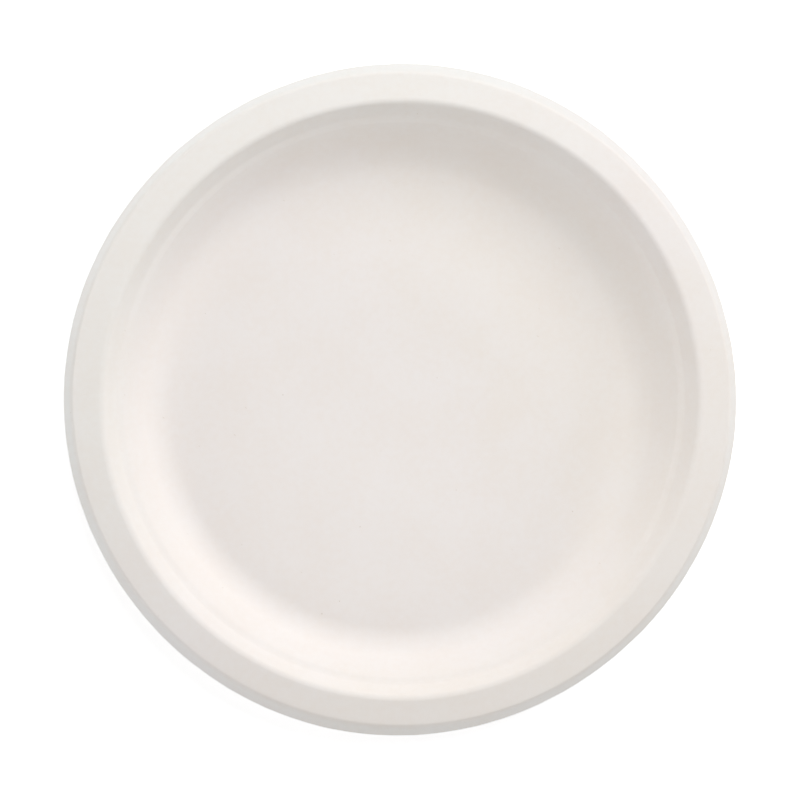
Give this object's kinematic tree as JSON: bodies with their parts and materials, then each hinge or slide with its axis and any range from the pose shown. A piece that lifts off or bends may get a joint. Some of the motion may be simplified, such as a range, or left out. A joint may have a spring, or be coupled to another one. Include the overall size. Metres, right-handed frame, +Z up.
{
  "type": "paper plate",
  "caption": "Round disposable plate of pressed white pulp: low bowl with a stacking ledge in the wall, a falling rim band and a turned-down, cut lip.",
  "frame": {"origin": "on the moulding axis, in the plane that the base rests on", "axes": "+Z up along the moulding axis, out of the bowl; X and Y lie in the resting plane and are interchangeable"},
  "size_m": [0.229, 0.229, 0.0195],
  "materials": {
    "pulp": "matt pressed pulp, warm white, smooth on the food side"
  },
  "bodies": {
    "root": {"plate": "pulp"}
  },
  "joints": []
}
